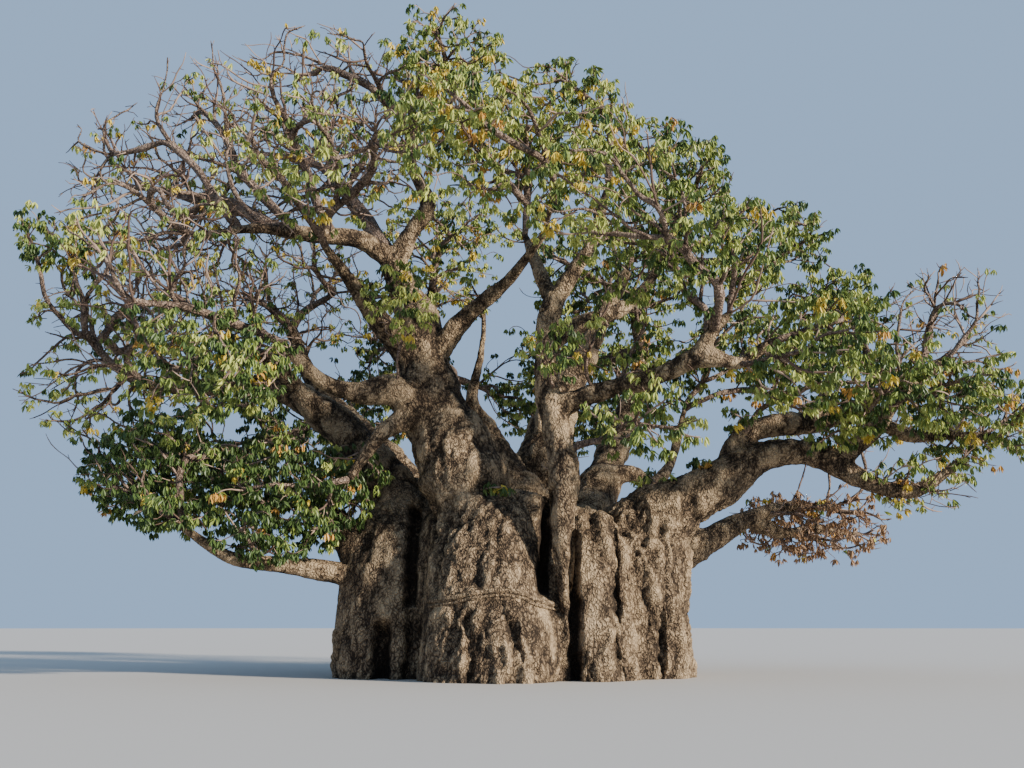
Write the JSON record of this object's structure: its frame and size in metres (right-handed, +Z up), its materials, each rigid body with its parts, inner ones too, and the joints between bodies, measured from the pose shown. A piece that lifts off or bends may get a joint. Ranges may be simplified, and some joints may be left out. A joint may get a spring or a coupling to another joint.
{
  "type": "baobab tree",
  "caption": "Very old baobab with a squat trunk of fused columns, a long low bough to one side and a wide, open crown of drooping leaves; gives shade and a landmark.",
  "frame": {"origin": "middle of the flat cut under the trunk, at ground level", "axes": "+Z up the trunk; +X towards the long low bough; -Y towards the side on which the trunk's columns show best"},
  "size_m": [17.5862, 13.7319, 11.2712],
  "materials": {
    "bark": "rough folded grey-brown bark with pitted, fibrous wrinkles running up the columns",
    "bough_bark": "rough knuckled bark, paler and greyer towards the twigs",
    "green_leaves": "smooth leaflets with a soft satin face, mid to dark green with lighter yellow-green ones",
    "turning_leaves": "smooth satin leaflets, thin on the twigs, green turning yellow and orange",
    "dry_leaves": "matt curled dead leaflets, brown"
  },
  "bodies": {
    "root": {"trunk": "bark", "neck_bough": "bough_bark", "upper_left_bough": "bough_bark", "long_left_bough": "bough_bark", "crown_bough": "bough_bark", "mid_left_bough": "bough_bark", "centre_bough": "bough_bark", "left_front_bough": "bough_bark", "left_great_bough": "bough_bark", "left_outer_bough": "bough_bark", "low_left_bough": "bough_bark", "front_stem": "bough_bark", "front_fork_bough": "bough_bark", "right_mid_bough": "bough_bark", "upper_right_bough": "bough_bark", "rear_centre_bough": "bough_bark", "great_right_bough": "bough_bark", "great_right_upper_bough": "bough_bark", "great_right_lower_bough": "bough_bark", "great_right_side_bough": "bough_bark", "rear_right_low_bough": "bough_bark", "rear_left_bough": "bough_bark", "rear_right_bough": "bough_bark", "rear_arch_bough": "bough_bark", "rear_middle_bough": "bough_bark", "far_left_tip_leaves": "turning_leaves", "upper_left_outer_leaves": "turning_leaves", "upper_left_leaves": "turning_leaves", "top_left_leaves": "turning_leaves", "top_leaves": "green_leaves", "top_right_leaves": "green_leaves", "upper_right_leaves": "green_leaves", "right_shoulder_leaves": "green_leaves", "right_outer_leaves": "green_leaves", "far_right_top_leaves": "turning_leaves", "far_right_leaves": "green_leaves", "right_low_leaves": "green_leaves", "dry_low_right_leaves": "dry_leaves", "left_mid_outer_leaves": "green_leaves", "left_low_outer_leaves": "green_leaves", "left_low_leaves": "green_leaves", "left_low_inner_leaves": "green_leaves", "front_left_upper_leaves": "green_leaves", "front_left_mid_leaves": "green_leaves", "front_top_left_leaves": "turning_leaves", "front_top_leaves": "green_leaves", "front_top_right_leaves": "green_leaves", "front_right_upper_leaves": "green_leaves", "front_right_mid_leaves": "green_leaves", "front_right_low_leaves": "green_leaves", "right_mid_leaves": "green_leaves", "rear_left_top_leaves": "turning_leaves", "rear_top_leaves": "green_leaves", "rear_right_top_leaves": "green_leaves", "rear_right_leaves": "green_leaves", "rear_far_right_leaves": "green_leaves", "rear_left_leaves": "green_leaves", "rear_left_low_leaves": "green_leaves", "rear_deep_left_leaves": "green_leaves", "rear_deep_right_leaves": "green_leaves"}
  },
  "joints": []
}
